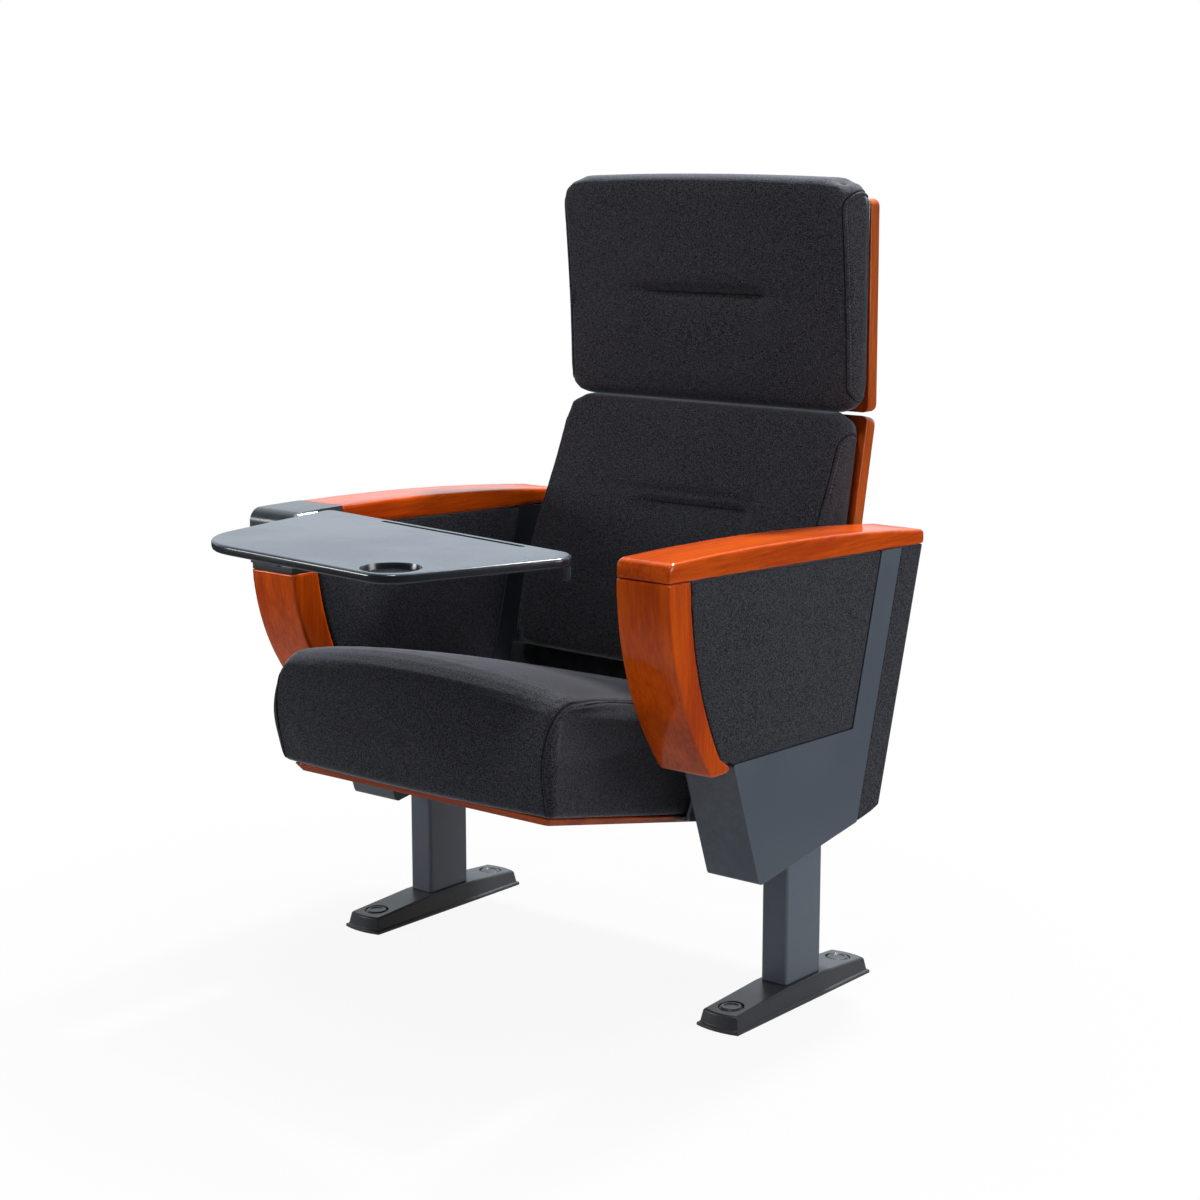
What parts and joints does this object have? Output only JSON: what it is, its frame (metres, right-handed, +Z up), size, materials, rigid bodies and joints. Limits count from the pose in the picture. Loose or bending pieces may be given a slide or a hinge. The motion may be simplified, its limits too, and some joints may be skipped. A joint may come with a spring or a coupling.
{
  "type": "auditorium armchair",
  "caption": "Fixed lecture-hall armchair with tip-up upholstered seat, high two-part back, panelled arms on floor posts and a fold-away writing tablet on one arm.",
  "frame": {"origin": "on the floor under the middle of the chair's bounding box", "axes": "+Z up, the chair faces -Y, and +X is the sitter's left"},
  "size_m": [0.704, 0.8681, 1.0578],
  "materials": {
    "black_steel": "satin black powder coat",
    "black_plastic": "satin moulded",
    "charcoal_steel": "satin charcoal powder coat",
    "steel": "zinc plated",
    "rubber": "matt",
    "wood": "gloss lacquered cherry",
    "core_board": "raw plywood",
    "fabric": "charcoal woven upholstery",
    "grey_plastic": "satin moulded"
  },
  "bodies": {
    "base": {"foot_left": "black_steel", "foot_cap_left_front": "black_plastic", "foot_cap_left_rear": "black_plastic", "post_left": "charcoal_steel", "side_shell_left": "charcoal_steel", "seat_hub_left": "charcoal_steel", "arm_core_left": "core_board", "outer_panel_left": "fabric", "inner_panel_left": "fabric", "rear_strip_left": "fabric", "arm_cap_left": "wood", "arm_front_left": "wood", "seat_pin_left": "steel", "back_stile_left": "steel", "seat_stop_left": "rubber", "foot_right": "black_steel", "foot_cap_right_front": "black_plastic", "foot_cap_right_rear": "black_plastic", "post_right": "charcoal_steel", "side_shell_right": "charcoal_steel", "seat_hub_right": "charcoal_steel", "arm_core_right": "core_board", "outer_panel_right": "fabric", "inner_panel_right": "fabric", "rear_strip_right": "fabric", "arm_cap_right": "wood", "arm_front_right": "wood", "seat_pin_right": "steel", "back_stile_right": "steel", "seat_stop_right": "rubber", "tablet_base": "grey_plastic", "tablet_cover": "grey_plastic", "tablet_bracket": "steel", "tablet_hinge_pin": "steel", "back_rail": "steel", "back_panel_lower": "wood", "back_panel_upper": "wood", "back_cushion_lower": "fabric", "back_cushion_upper": "fabric"},
    "seat": {"seat_pan": "wood", "seat_cushion": "fabric", "seat_strap": "steel", "seat_ear_left": "steel", "seat_ear_right": "steel"},
    "tablet": {"tablet_board": "grey_plastic", "tablet_leaf": "steel"}
  },
  "joints": [
    {"name": "seat_tip", "type": "hinge", "parent": "base", "child": "seat", "pos_m": [0, 0.07511, 0.285], "axis": [-1, 0, 0], "range_deg": [0, 70]},
    {"name": "tablet_flip", "type": "hinge", "parent": "base", "child": "tablet", "pos_m": [-0.266, -0.15189, 0.616], "axis": [0, -1, 0], "range_deg": [0, 90]}
  ]
}
